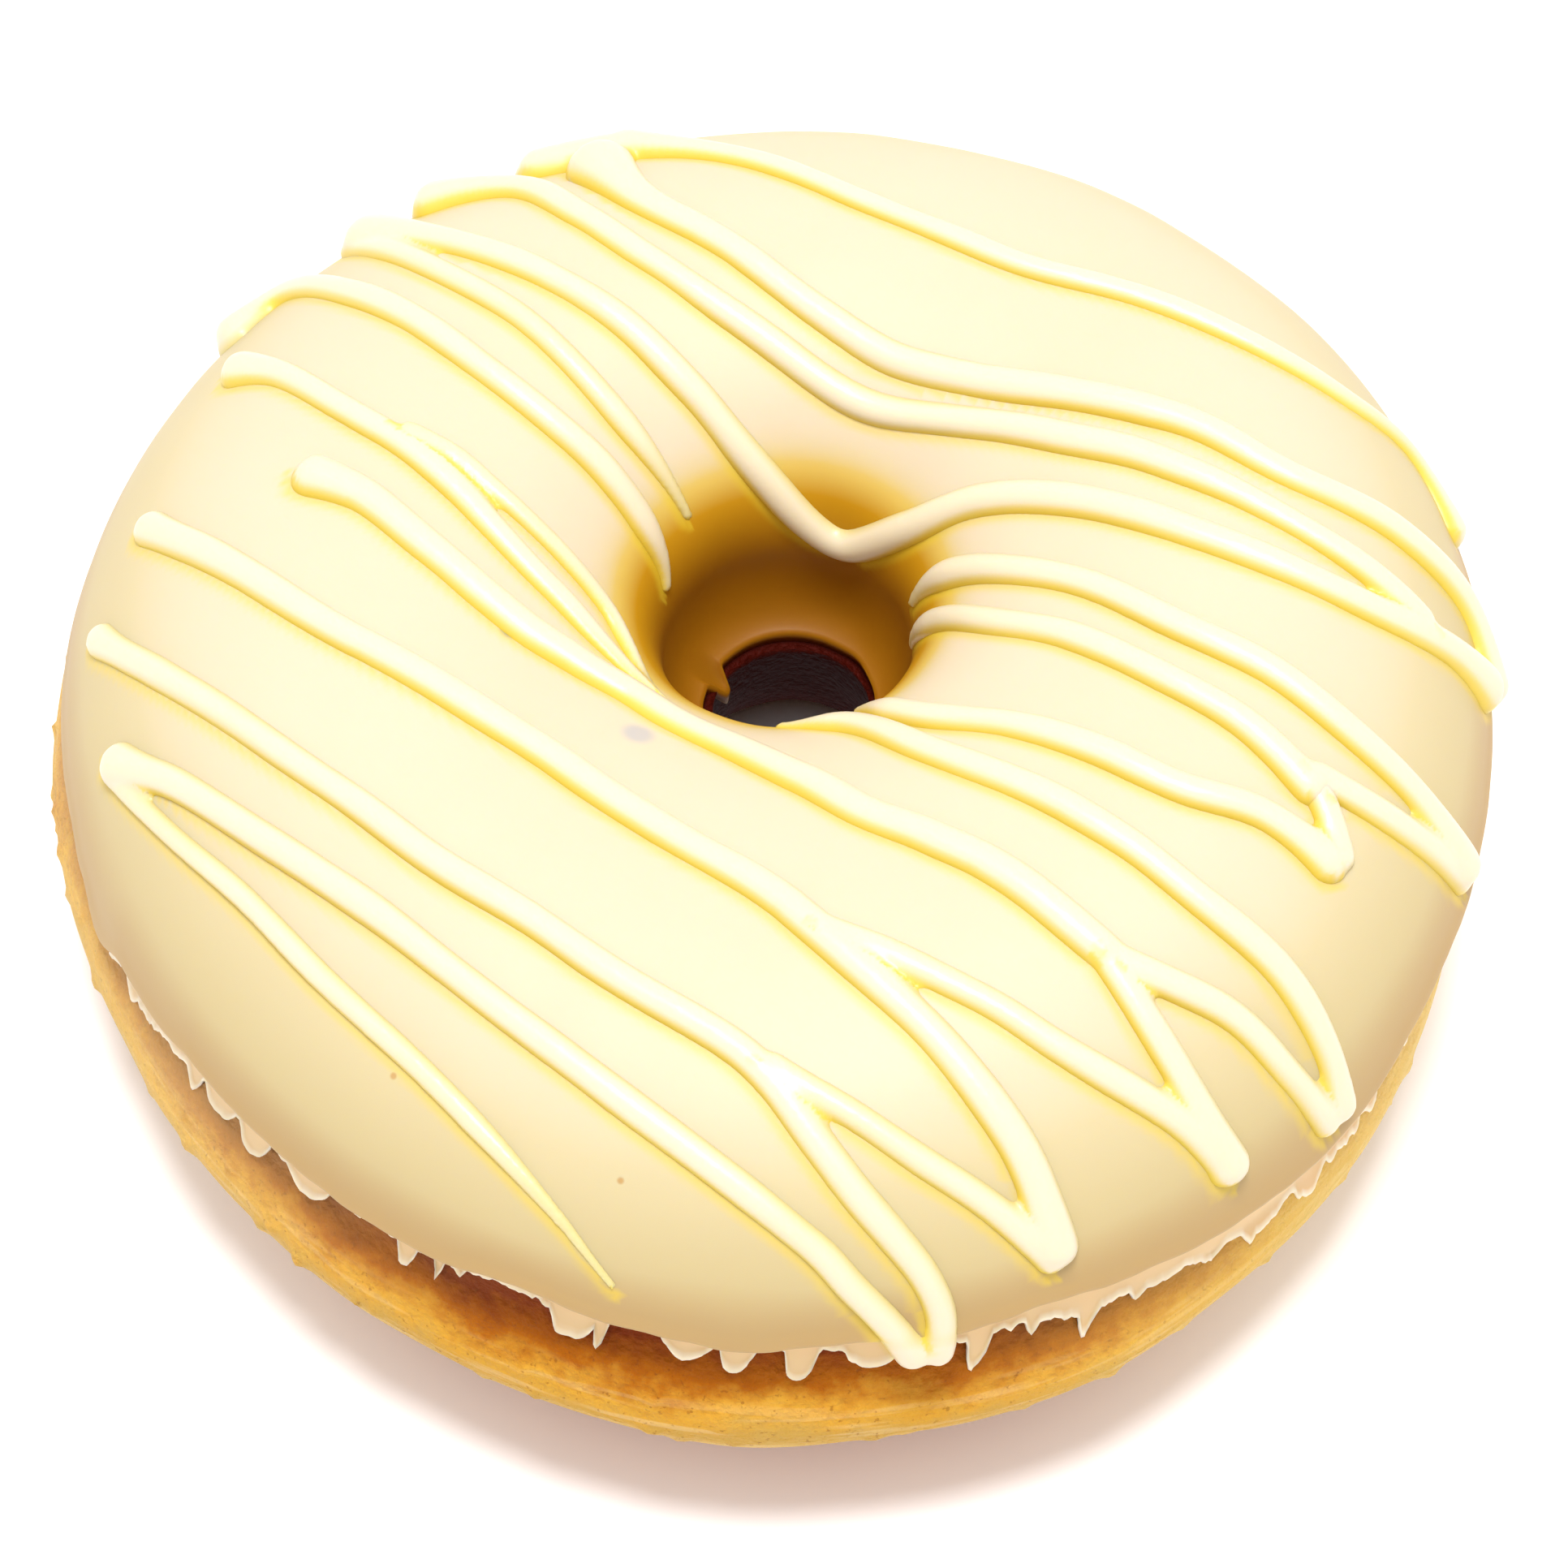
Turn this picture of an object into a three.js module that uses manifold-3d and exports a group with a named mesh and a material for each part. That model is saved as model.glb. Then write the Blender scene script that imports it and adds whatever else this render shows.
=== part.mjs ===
// Ring doughnut: a ring of fried dough, dipped upside down in pale chocolate and then drizzled
// with threads of the same chocolate. It rests on its flat base, +Z up. The origin is under the
// middle of the whole doughnut, on the surface that it rests on. Lengths are in millimetres.

import * as THREE from 'three';
import { mergeVertices } from 'three/addons/utils/BufferGeometryUtils.js';
import Module from 'manifold-3d';

const wasm = await Module();
wasm.setup();

// The coated top, as a section through one side of the ring
const COAT_RADIUS = 47.7;
const CREST_RADIUS = 27;
const CREST_HEIGHT = 33;
const WAIST_HEIGHT = 16;
const WALL_RADIUS = 8.3;
const WALL_HEIGHT = 19;
const THROAT_RADIUS = 5.3;
const THROAT_HEIGHT = 13.4;
const OUTER_ROUNDNESS = 2.15;

// The chocolate coat: its thickness, its gaps to the dough and the drizzle, and its hanging edge
const COAT_THICKNESS = 1;
const GAP = 0.3;
const DRIZZLE_GAP = 0.5;
const THREAD_RISE = 0.1;
const EDGE_HEIGHT = 19.2;
const EDGE_RISE = 0.9;
const EDGE_RISE_AT = 262;
const SCALLOP_DEPTH = 0.45;
const SCALLOPS = [11, 19];
const COAT_ENDS = [-87, 87];

// Angles over the section where the hole's wall stands upright, and where its throat is
const WALL_OVER = -70;
const THROAT_OVER = -90;

// The bare dough below the coat: a pale belt that stands out at the waist, and a flat base
const BELT_RADIUS = 48;
const BELT_HEIGHT = 12.6;
const BELT_RISE = 2.2;
const GROOVE_DEPTH = 2;
const BASE_OUTER_RADIUS = 36;
const BASE_INNER_RADIUS = 15;

// What makes the ring a hand-made one: slightly oval and three-cornered, with its hole pushed
// back and its belt pushed to one side
const OVAL = 0.021;
const OVAL_AT = 111;
const BELT_OVAL = 0.014;
const CORNERS = 0.015;
const CORNERS_AT = 37;
const HOLE_SHIFT = new THREE.Vector2(0.8, 4.6);
const COAT_CENTRE = new THREE.Vector2(0.3, 0.8);
const BELT_CENTRE = new THREE.Vector2(-1.3, 0.8);
const BELT_BLEND = [12, 20];

// Facets
const TURNS = 48;
const SECTION_STEP = 12;
const LIP_STEP = 5;
const EDGE_TURNS = 80;
const UNDER_TURNS = 32;
const UNDER_STEP = 15;
const THREAD_ARC_POINTS = 3;
const THREAD_STEP = 5;
const DROP_DETAIL = 1;

// The drizzle, one group of fused threads to a node. Each thread has its radius, the radius of the
// drop at each of its ends, which is 0 where the end runs into another thread, and the points that
// it passes. A point is [around, over] in degrees: around the ring from +X, and over its section,
// from the crest at 0 out to the waist at 90, or in to the hole's upright wall at -70 and round
// its lip to the throat at -90.
const DRIZZLE = {
  drizzle_back: [
    {
      radius: 1.2, drops: [0, 1.6],
      path: [[104.5, 42], [92, 24.5], [78, 9.5], [62.5, 4], [48.5, 6], [31.5, 21.5], [21.5, 40],
        [17, 61], [10, 72.5]],
    },
    {
      radius: 1.5, drops: [2, 2],
      path: [[106.5, 37.5], [104, 12.5], [95, -3], [82, -16], [64, -23], [45, -20], [29.5, -10],
        [16.5, 5.5], [8.5, 18.5], [4.5, 41.5], [1, 65], [-5.5, 78]],
    },
    {
      radius: 1.4, drops: [1.4, 0],
      path: [[122, 53.5], [114.5, 32], [111.5, 12.5], [107, -2.5], [97, -17], [80, -29], [62, -33],
        [42, -28], [24.5, -17.5], [14.5, -6.5], [6.5, 5.5], [0.5, 20.5], [-5.5, 47.5]],
    },
    {
      radius: 1.5, drops: [1.5, 2],
      path: [[128, 54.5], [125.5, 24], [121.5, 4], [116, -13.5], [110, -29], [99, -45.5], [79, -59.5],
        [57.5, -63], [34, -50.5], [20.5, -35], [10.5, -22], [2.5, -9], [-2.5, 3], [-5.5, 18.5],
        [-6.5, 35], [-5.5, 56], [-5, 75]],
    },
    {
      radius: 1.3, drops: [0, 0.7],
      path: [[129, 53.5], [129.5, 17.5], [128.5, -6], [129, -29], [128, -53]],
    },
  ],
  drizzle_left: [
    {
      radius: 1.4, drops: [1.4, 0.7],
      path: [[143.5, 59.5], [136.5, 53.5], [136.5, 27], [137.5, 8], [139.5, -7], [141, -21], [142, -33],
        [145, -46], [149, -56], [155, -62.5]],
    },
  ],
  drizzle_inner_left: [
    {
      radius: 1.4, drops: [1.4, 0.8],
      path: [[148.5, 42.5], [149.5, 25.5], [153.5, 8.5], [157.5, -2], [163.5, -13.5], [171.5, -26],
        [183.5, -38.5], [196, -44.5], [208, -46.5]],
    },
    {
      radius: 1, drops: [0, 0],
      path: [[153.5, -2], [155.5, -11.5], [161.5, -24], [169.5, -35], [180.5, -45], [194, -48.5]],
    },
  ],
  drizzle_front: [
    {
      radius: 1.6, drops: [1.9, 0],
      path: [[163.5, 12.5], [167.5, -0.5], [177.5, -12], [187.5, -19.5], [197.5, -25], [209.5, -31],
        [227.5, -35.5], [254, -32.5], [272, -23.5], [282, -14], [290, -6.5], [297, 4.5], [302, 24]],
    },
    { radius: 1.3, drops: [0, 2], path: [[301, 20], [302, 46.5], [303, 69.5]] },
    { radius: 1.3, drops: [0, 0], path: [[301, 20], [308, 39.5], [310.5, 58], [312.5, 77]] },
    {
      radius: 1.5, drops: [1.5, 2],
      path: [[166.5, 45], [173.5, 26], [181.5, 12.5], [193.5, 0], [207.5, -8.5], [225.5, -13],
        [243.5, -11.5], [258, -7], [267, -2], [274, 5.5], [280, 16], [284, 27], [287, 41.5],
        [288, 55.5], [288, 68]],
    },
    {
      radius: 1.3, drops: [0, 0],
      path: [[272, 2.5], [280, 8.5], [288, 19], [293, 30], [298, 43.5], [301, 55], [303, 69.5]],
    },
    {
      radius: 1.4, drops: [1.4, 2],
      path: [[176, 56], [185.5, 37], [196.5, 23.5], [211.5, 14], [225.5, 11], [239.5, 10.5], [253, 15],
        [262, 20], [267, 26], [271, 36], [275, 47.5], [278, 61], [279, 75.5]],
    },
    {
      radius: 1.2, drops: [0, 0],
      path: [[266, 23], [274, 32], [280, 42.5], [284, 51.5], [287, 62], [288, 68]],
    },
    {
      radius: 1.4, drops: [1.8, 0],
      path: [[189.5, 55.5], [197.5, 40], [209.5, 29.5], [222.5, 24], [234.5, 24], [247, 28], [257, 35],
        [264, 42.5], [270, 51.5], [274, 62], [278, 75.5]],
    },
    {
      radius: 1.1, drops: [0, 0.7],
      path: [[189.5, 56.5], [199.5, 47], [211.5, 39.5], [223.5, 38.5], [235, 40.5], [244, 46.5],
        [251, 55.5], [256, 67]],
    },
    {
      radius: 1.4, drops: [0.8, 1.4],
      path: [[264, -50], [286.5, -40.5], [298, -21.5], [306.5, -5.5], [310.5, 8], [312.5, 23],
        [314.5, 40.5], [314.5, 59], [313.5, 77]],
    },
  ],
  drizzle_right: [
    {
      radius: 1.4, drops: [0.8, 2],
      path: [[13, -63], [7.5, -51], [-5.5, -32], [-12.5, -16.5], [-17.5, -2.5], [-19.5, 14],
        [-21.5, 30.5], [-22.5, 49], [-23.5, 74.5]],
    },
    {
      radius: 1.4, drops: [0.8, 1.4],
      path: [[-1, -69], [-9, -56], [-21.5, -35], [-24.5, -17.5], [-26.5, -3.5], [-27.5, 12],
        [-29.5, 26.5], [-29.5, 31.5]],
    },
    { radius: 1.3, drops: [0, 0], path: [[-28.5, 24.5], [-26.5, 45], [-23.5, 74.5]] },
  ],
  drizzle_short: [
    {
      radius: 1.4, drops: [0.8, 1.6],
      path: [[-66, -50], [-57, -31], [-47.5, -17], [-42.5, -4.5], [-39.5, 9], [-35.5, 23],
        [-34.5, 41.5]],
    },
  ],
};

const COLOURS = { dough: '#b9782a', chocolate: '#f1e3bd', drizzle: '#f4e5a8' };

const { degToRad, lerp, clamp, smoothstep } = THREE.MathUtils;

// A point of the coated top, at an angle over the section and so far under the coat's surface
function crown(over, depth = 0) {
  if (over < WALL_OVER) {
    const turn = (Math.PI / 2) * ((over - WALL_OVER) / (THROAT_OVER - WALL_OVER));
    const ledge = WALL_RADIUS - THROAT_RADIUS + depth;
    const fall = WALL_HEIGHT - THROAT_HEIGHT + depth;
    const inwards = ledge * Math.max(Math.cos(turn), 0);
    return new THREE.Vector2(THROAT_RADIUS + inwards, WALL_HEIGHT - fall * Math.sin(turn));
  }
  if (over < 0) {
    const turn = (Math.PI / 2) * (over / WALL_OVER);
    const along = (CREST_RADIUS - WALL_RADIUS - depth) * Math.sin(turn);
    const up = (CREST_HEIGHT - WALL_HEIGHT - depth) * Math.max(Math.cos(turn), 0);
    return new THREE.Vector2(CREST_RADIUS - along, WALL_HEIGHT + up);
  }
  const power = 2 / OUTER_ROUNDNESS;
  const turn = degToRad(over);
  const along = (COAT_RADIUS - CREST_RADIUS - depth) * Math.sin(turn) ** power;
  const up = (CREST_HEIGHT - WAIST_HEIGHT - depth) * Math.max(Math.cos(turn), 0) ** power;
  return new THREE.Vector2(CREST_RADIUS + along, WAIST_HEIGHT + up);
}

// Points along the coated top, which are closer together round the lip of the hole
function crownPoints(from, to, depth, step = SECTION_STEP) {
  const lipSteps = Math.ceil((WALL_OVER - from) / LIP_STEP);
  const steps = Math.round((to - WALL_OVER) / step);
  const lip = Array.from({ length: lipSteps }, (_, i) => lerp(from, WALL_OVER, i / lipSteps));
  const rest = Array.from({ length: steps + 1 }, (_, i) => lerp(WALL_OVER, to, i / steps));
  return [...lip, ...rest].map((over) => crown(over, depth));
}

// Moves a point of a true ring to where it is on the hand-made one
function shapeByHand(point) {
  const radius = Math.hypot(point.x, point.y);
  const angle = Math.atan2(point.y, point.x);
  const inward = clamp((COAT_RADIUS - radius) / (COAT_RADIUS - THROAT_RADIUS), 0, 1);
  const low = 1 - smoothstep(point.z, ...BELT_BLEND);
  const oval = (OVAL + BELT_OVAL * low) * Math.cos(2 * (angle - degToRad(OVAL_AT)));
  const corners = CORNERS * Math.cos(3 * (angle - degToRad(CORNERS_AT)));
  const reach = radius * (1 + (oval + corners) * (1 - inward));
  const centre = COAT_CENTRE.clone().lerp(BELT_CENTRE, low * (1 - inward));
  centre.addScaledVector(HOLE_SHIFT, inward);
  return point.set(
    centre.x + reach * Math.cos(angle),
    centre.y + reach * Math.sin(angle),
    point.z,
  );
}

function reshape(geometry, move) {
  const place = geometry.attributes.position;
  const point = new THREE.Vector3();
  for (let i = 0; i < place.count; i += 1) {
    move(point.fromBufferAttribute(place, i));
    place.setXYZ(i, point.x, point.y, point.z);
  }
  return geometry;
}

// A ring with a closed section of [radius, height] points, listed inner side first and going up
function ring(section, turns = TURNS) {
  const loop = [...section, section[0]].reverse();
  return new THREE.LatheGeometry(loop, turns).rotateX(Math.PI / 2);
}

function solid(geometry) {
  const bare = geometry.clone();
  bare.deleteAttribute('normal');
  bare.deleteAttribute('uv');
  const merged = mergeVertices(bare, 1e-4);
  return new wasm.Manifold(new wasm.Mesh({
    numProp: 3,
    vertProperties: new Float32Array(merged.attributes.position.array),
    triVerts: new Uint32Array(merged.index.array),
  }));
}

function meshOf(name, body, colour, roughness) {
  const { vertProperties, triVerts } = body.getMesh();
  const geometry = new THREE.BufferGeometry();
  geometry.setAttribute('position', new THREE.BufferAttribute(vertProperties, 3));
  geometry.setIndex(new THREE.BufferAttribute(triVerts, 1));
  geometry.computeVertexNormals();
  const mesh = new THREE.Mesh(geometry, new THREE.MeshStandardMaterial({ color: colour, roughness }));
  mesh.name = name;
  return mesh;
}

// The dough: the wall of the hole, the crown under the coat, the belt and the flat base
function doughRing() {
  const depth = COAT_THICKNESS + GAP;
  const throat = crown(THROAT_OVER, depth);
  const shoulder = crown(77, depth);
  const hole = new THREE.SplineCurve([
    new THREE.Vector2(BASE_INNER_RADIUS, 0),
    new THREE.Vector2(BASE_INNER_RADIUS - 5, 1.2),
    new THREE.Vector2(throat.x + 1.7, 5),
    throat,
  ]);
  const flank = new THREE.SplineCurve([
    shoulder,
    new THREE.Vector2(BELT_RADIUS - GROOVE_DEPTH, BELT_HEIGHT + 2.2 * BELT_RISE),
    new THREE.Vector2(BELT_RADIUS - 0.6, BELT_HEIGHT + BELT_RISE),
    new THREE.Vector2(BELT_RADIUS, BELT_HEIGHT),
    new THREE.Vector2(BELT_RADIUS - 0.6, BELT_HEIGHT - BELT_RISE),
    new THREE.Vector2(lerp(BELT_RADIUS, BASE_OUTER_RADIUS, 0.2), 0.55 * BELT_HEIGHT),
    new THREE.Vector2(lerp(BELT_RADIUS, BASE_OUTER_RADIUS, 0.45), 0.27 * BELT_HEIGHT),
    new THREE.Vector2(lerp(BELT_RADIUS, BASE_OUTER_RADIUS, 0.7), 0.08 * BELT_HEIGHT),
    new THREE.Vector2(BASE_OUTER_RADIUS, 0),
  ]);
  const section = [
    ...hole.getPoints(5),
    ...crownPoints(THROAT_OVER, 77, depth).slice(1, -1),
    ...flank.getPoints(11),
  ];
  return solid(reshape(ring(section), shapeByHand));
}

// How high the coat's outer edge is, at an angle around the ring in radians
function edgeHeight(angle) {
  const rise = EDGE_RISE * Math.cos(2 * (angle - degToRad(EDGE_RISE_AT)));
  const scallops = SCALLOPS.map((count) => Math.sin(count * angle)).reduce((sum, x) => sum + x);
  return EDGE_HEIGHT + rise + SCALLOP_DEPTH * scallops;
}

// The coat: a shell over the crown, trimmed along its outer edge by a collar with a wavy top
function icingCoat() {
  const [inner, outer] = COAT_ENDS;
  const section = [
    ...crownPoints(inner, outer, 0),
    ...crownPoints(inner, outer, COAT_THICKNESS).reverse(),
  ];
  const shell = solid(reshape(ring(section), shapeByHand));
  const [inside, outside, below] = [COAT_RADIUS - 8, COAT_RADIUS + 6, WAIST_HEIGHT - 6];
  const collarSection = [
    new THREE.Vector2(inside, below),
    new THREE.Vector2(inside, WAIST_HEIGHT),
    new THREE.Vector2(outside, WAIST_HEIGHT),
    new THREE.Vector2(outside, below),
  ];
  const collar = reshape(ring(collarSection, EDGE_TURNS), (point) => {
    if (point.z > below) {
      point.z = edgeHeight(Math.atan2(point.y, point.x));
    }
    return point;
  });
  return shell.subtract(solid(collar));
}

// The line of a thread, lying along the coat
class Thread extends THREE.Curve {
  constructor(path) {
    super();
    this.plan = new THREE.SplineCurve(path.map(([around, over]) => new THREE.Vector2(around, over)));
  }

  getPoint(t, target = new THREE.Vector3()) {
    const { x: around, y: over } = this.plan.getPoint(t);
    const { x: radius, y: height } = crown(over, -THREAD_RISE);
    const angle = degToRad(around);
    return shapeByHand(target.set(radius * Math.cos(angle), radius * Math.sin(angle), height));
  }
}

function drop(centre, radius) {
  const ball = new THREE.IcosahedronGeometry(radius, DROP_DETAIL);
  return solid(ball.translate(centre.x, centre.y, centre.z));
}

// A thread as a round bar along its line, with a drop at each free end
function threadSolid({ radius, drops, path }) {
  const line = new Thread(path);
  const round = new THREE.Shape().absarc(0, 0, radius, 0, 2 * Math.PI);
  const bar = new THREE.ExtrudeGeometry(round, {
    curveSegments: THREAD_ARC_POINTS,
    steps: Math.ceil(line.getLength() / THREAD_STEP),
    extrudePath: line,
  });
  const ends = drops.map((size, end) => size && drop(line.getPoint(end), size));
  return ends.filter(Boolean).reduce((sum, end) => sum.add(end), solid(bar));
}

// Everything under the drizzle's underside, which follows the coat with a gap
function underDrizzle() {
  const section = [
    new THREE.Vector2(THROAT_RADIUS, 0),
    ...crownPoints(THROAT_OVER, 90, -DRIZZLE_GAP, UNDER_STEP),
    new THREE.Vector2(COAT_RADIUS + DRIZZLE_GAP, 0),
  ];
  return solid(reshape(ring(section, UNDER_TURNS), shapeByHand));
}

const doughnut = new THREE.Group();
doughnut.add(meshOf('dough_ring', doughRing(), COLOURS.dough, 0.7));
doughnut.add(meshOf('icing_coat', icingCoat(), COLOURS.chocolate, 0.35));
const under = underDrizzle();
for (const [name, threads] of Object.entries(DRIZZLE)) {
  const fused = threads.map(threadSolid).reduce((sum, thread) => sum.add(thread));
  doughnut.add(meshOf(name, fused.subtract(under), COLOURS.drizzle, 0.3));
}

export default doughnut;
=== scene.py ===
# %% [markdown]
# # A ring doughnut
# A ring of fried dough was dipped upside down in melted pale chocolate, and threads of the same
# chocolate were poured over it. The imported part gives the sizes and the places. Here each of its
# pieces gets a finer skin: the dough its belt, wrinkles and pores, the coat its thin ragged
# skirt, and the drizzle its fused, dripping threads.

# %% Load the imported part
import math
import random

import bmesh
import bpy
from mathutils import Matrix, Vector, noise


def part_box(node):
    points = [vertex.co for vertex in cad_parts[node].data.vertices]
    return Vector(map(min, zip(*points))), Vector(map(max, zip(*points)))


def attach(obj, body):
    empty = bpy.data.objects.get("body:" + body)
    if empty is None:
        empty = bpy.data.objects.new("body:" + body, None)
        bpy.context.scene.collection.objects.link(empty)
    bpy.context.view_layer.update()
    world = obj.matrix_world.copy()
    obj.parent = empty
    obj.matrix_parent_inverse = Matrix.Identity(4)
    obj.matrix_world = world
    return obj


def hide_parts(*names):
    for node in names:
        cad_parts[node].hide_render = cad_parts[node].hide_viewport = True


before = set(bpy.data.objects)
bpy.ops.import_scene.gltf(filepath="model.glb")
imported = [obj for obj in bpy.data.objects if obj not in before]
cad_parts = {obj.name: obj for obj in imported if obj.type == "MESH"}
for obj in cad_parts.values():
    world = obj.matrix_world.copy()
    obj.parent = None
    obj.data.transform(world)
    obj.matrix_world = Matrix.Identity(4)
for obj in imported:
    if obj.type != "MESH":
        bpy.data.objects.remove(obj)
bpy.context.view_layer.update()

MM = 0.001

# %% [markdown]
# ## The camera
# The doughnut is seen from a little more than halfway up, through a long lens, so the ring stays
# nearly free of perspective. The camera is turned by a few degrees, as a hand-held one is.

# %% Place the camera
CAMERA_AT = Vector((0.3, -175.5, 257.7)) * MM
LOOKS_AT = Vector((0.37, -2.53, 15.0)) * MM
CAMERA_ROLL = -0.05
LENS = 103.93


def aim(thing, place, target, roll=0.0):
    """Stands a lamp or a camera at a place and turns it to a target."""
    back = (place - target).normalized()
    right = Vector((0, 0, 1)).cross(back).normalized()
    up = back.cross(right)
    side = right * math.cos(roll) + up * math.sin(roll)
    top = up * math.cos(roll) - right * math.sin(roll)
    thing.matrix_world = Matrix.Translation(place) @ Matrix((side, top, back)).transposed().to_4x4()


camera_data = bpy.data.cameras.new("camera")
camera_data.lens = LENS
camera_data.sensor_width = 36
camera_data.clip_start = 0.01
camera = bpy.data.objects.new("camera", camera_data)
bpy.context.scene.collection.objects.link(camera)
aim(camera, CAMERA_AT, LOOKS_AT, CAMERA_ROLL)
bpy.context.scene.camera = camera
bpy.context.scene.view_settings.view_transform = "Standard"
print("camera stands", round((CAMERA_AT - LOOKS_AT).length, 3), "m away")

# %% [markdown]
# ## The section of the ring
# Every piece of the doughnut hangs on one section: a crown that falls from its crest out to the
# waist and in to the throat. A place on it is an angle *over* the crown, and a depth under the
# coat's skin. A second step gives the plain ring the uneven shape of a hand-made one: it becomes
# slightly oval and three-cornered, with its hole pushed back.

# %% Section and hand shaping
COAT_RADIUS = 47.7
CREST_RADIUS = 27.0
CREST_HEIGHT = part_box("icing_coat")[1].z / MM
WAIST_HEIGHT = 16.0
WALL_RADIUS, WALL_HEIGHT, WALL_OVER = 8.3, 19.0, -70.0
THROAT_RADIUS, THROAT_HEIGHT, THROAT_OVER = 5.3, 13.4, -90.0
OUTER_ROUNDNESS = 2.15
OVAL, OVAL_AT, BELT_OVAL = 0.021, math.radians(111), 0.014
CORNERS, CORNERS_AT = 0.015, math.radians(37)
HOLE_SHIFT = Vector((0.8, 4.6))
COAT_CENTRE = Vector((0.3, 0.8))
BELT_CENTRE = Vector((-1.3, 0.8))
BELT_BLEND = (12.0, 20.0)


def clamp(value, low=0.0, high=1.0):
    return max(low, min(high, value))


def ease(value, low, high):
    """Rises smoothly from 0 at low to 1 at high."""
    part = clamp((value - low) / (high - low))
    return part * part * (3 - 2 * part)


def crown(over, depth=0.0):
    """Radius and height of the section: over is 0 at the crest, 90 outside, -90 at the throat."""
    if over < WALL_OVER:
        turn = math.pi / 2 * (over - WALL_OVER) / (THROAT_OVER - WALL_OVER)
        return (THROAT_RADIUS + (WALL_RADIUS - THROAT_RADIUS + depth) * max(math.cos(turn), 0.0),
                WALL_HEIGHT - (WALL_HEIGHT - THROAT_HEIGHT + depth) * math.sin(turn))
    if over < 0:
        turn = math.pi / 2 * over / WALL_OVER
        return (CREST_RADIUS - (CREST_RADIUS - WALL_RADIUS - depth) * math.sin(turn),
                WALL_HEIGHT + (CREST_HEIGHT - WALL_HEIGHT - depth) * max(math.cos(turn), 0.0))
    power, turn = 2 / OUTER_ROUNDNESS, math.radians(over)
    return (CREST_RADIUS + (COAT_RADIUS - CREST_RADIUS - depth) * math.sin(turn) ** power,
            WAIST_HEIGHT + (CREST_HEIGHT - WAIST_HEIGHT - depth) * max(math.cos(turn), 0.0) ** power)


def shape_by_hand(radius, angle, height):
    """Turns a point of the plain ring into one of the hand-made ring, in millimetres."""
    inward = clamp((COAT_RADIUS - radius) / (COAT_RADIUS - THROAT_RADIUS))
    low = 1 - ease(height, *BELT_BLEND)
    oval = (OVAL + BELT_OVAL * low) * math.cos(2 * (angle - OVAL_AT))
    corners = CORNERS * math.cos(3 * (angle - CORNERS_AT))
    reach = radius * (1 + (oval + corners) * (1 - inward))
    centre = COAT_CENTRE.lerp(BELT_CENTRE, low * (1 - inward)) + HOLE_SHIFT * inward
    return Vector((centre.x + reach * math.cos(angle), centre.y + reach * math.sin(angle), height))


def spline(points, steps):
    """A smooth line through the points, with so many steps from each point to the next."""
    line = []
    last = len(points) - 1
    for i in range(last):
        a, b, c, d = (Vector(points[clamp(i + k, 0, last)]) for k in (-1, 0, 1, 2))
        for step in range(steps):
            t = step / steps
            leave, arrive = (c - a) / 2, (d - b) / 2
            line.append(((2 * b - 2 * c + leave + arrive) * t + (3 * c - 3 * b - 2 * leave - arrive))
                        * t * t + leave * t + b)
    return line + [Vector(points[-1])]


print("crest", round(CREST_HEIGHT, 2), "mm high; throat at", crown(-90))

# %% [markdown]
# ## Helpers for a turned ring
# The dough and the coat are both turned like pots on a wheel. A closed section is drawn once, and
# the spin operator carries it round the axis. Numbers written on the section's vertices go round
# with it, so each vertex still knows which part of the section it came from when its final place
# is worked out.

# %% Turn a section into a ring
def turned_ring(section, turns, notes=()):
    """Spins a closed section. A point is (radius, height, one number for each note), in mm."""
    ring = bmesh.new()
    layers = [ring.verts.layers.float.new(note) for note in notes]
    corners = []
    for radius, height, *numbers in section:
        corner = ring.verts.new((radius, 0, height))
        for layer, number in zip(layers, numbers):
            corner[layer] = number
        corners.append(corner)
    side_shade_ramp = [ring.edges.new(pair) for pair in zip(corners, corners[1:] + corners[:1])]
    bmesh.ops.spin(ring, geom=corners + side_shade_ramp, cent=(0, 0, 0), axis=(0, 0, 1), dvec=(0, 0, 0),
                   angle=2 * math.pi, steps=turns, use_merge=True)
    return ring


def finished(ring, name, outwards=True):
    """Makes the object of a bmesh in millimetres, with smooth faces that look outwards."""
    if outwards:
        bmesh.ops.recalc_face_normals(ring, faces=ring.faces)
    bmesh.ops.scale(ring, vec=(MM, MM, MM), verts=ring.verts)
    for face in ring.faces:
        face.smooth = True
    mesh = bpy.data.meshes.new(name)
    ring.to_mesh(mesh)
    ring.free()
    piece = bpy.data.objects.new(name, mesh)
    bpy.context.scene.collection.objects.link(piece)
    print(name, "has", len(mesh.polygons), "faces")
    return piece


def around_of(point):
    return math.atan2(point.y, point.x)


def lumps(point, size, seed=0.0):
    """Smooth noise between about -1 and 1, with lumps of a size in millimetres."""
    return noise.noise(point / size + Vector((seed, seed * 1.7, -seed)))


# %% [markdown]
# ## The dough ring
# A ring doughnut floats while it fries, first on one side and then on the other, so both faces
# brown and a pale belt stays at its waist. The belt stands out a little, and its skin has
# fine wrinkles along it, pores, and a few blisters. The section is drawn from spline curves, spun,
# and its vertices are then moved as a modelling tool would move them.

# %% Turn the dough
DOUGH_TURNS = 720
DOUGH_DEPTH = 1.15
BELT_RADIUS = 48.0
BELT_HEIGHT = 12.6
HOLE_WALL = [(15, 0), (10, 1.2), (7, 5)]
FLANK = [(46.2, 17.44), (47.4, 14.8), (48, 12.6), (47.4, 10.4), (45.6, 6.93), (42.6, 3.4), (39.6, 1.0), (36, 0)]

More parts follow.
